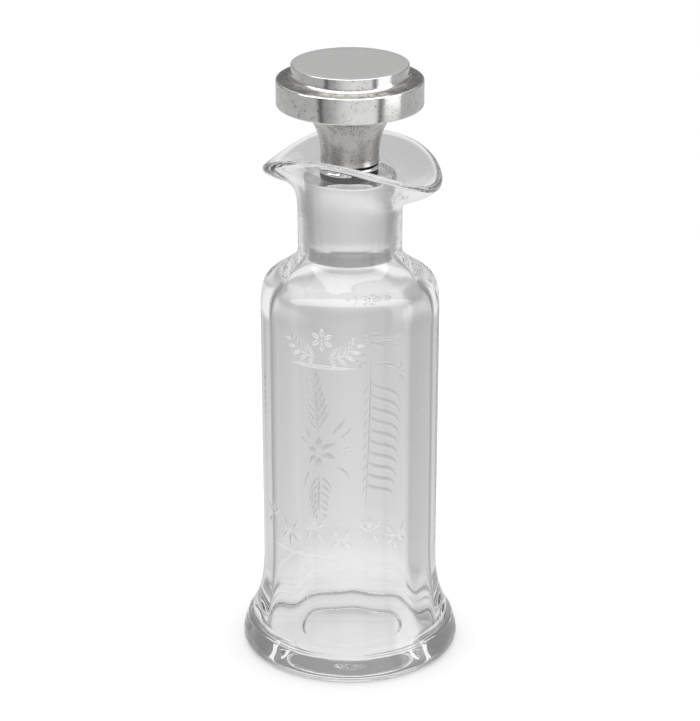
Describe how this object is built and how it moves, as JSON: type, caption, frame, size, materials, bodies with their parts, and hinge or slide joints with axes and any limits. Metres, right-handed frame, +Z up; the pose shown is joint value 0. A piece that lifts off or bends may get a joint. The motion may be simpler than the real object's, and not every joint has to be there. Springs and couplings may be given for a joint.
{
  "type": "oil and vinegar cruet",
  "caption": "Tall round glass cruet with a flared foot, a folded pouring lip, an engraved body and a silver-mounted ground glass stopper that lifts out.",
  "frame": {"origin": "centre of the foot, on the plane it stands on", "axes": "+Z up along the bottle's axis, -X towards the pouring spout, -Y towards the engraved front"},
  "size_m": [0.0752, 0.0752, 0.21],
  "materials": {
    "clear_glass": "clear blown glass, polished, with shallow matt wheel engraving",
    "ground_glass": "ground matt on the taper, polished on its flat top",
    "silver": "polished silver with light tarnish, small dents and a satin flat top",
    "plaster": "cast plaster, not seen",
    "pitch": "black sealing pitch"
  },
  "bodies": {
    "bottle": {"bottle": "clear_glass"},
    "stopper": {"stopper_plug": "ground_glass", "pitch_seal": "pitch", "mount_foot_ring": "silver", "mount_neck": "silver", "mount_cap": "silver", "plaster_filling": "plaster"}
  },
  "joints": [
    {"name": "stopper_lift", "type": "slide", "parent": "bottle", "child": "stopper", "axis": [0, 0, 1], "range_m": [0, 0.045]}
  ]
}
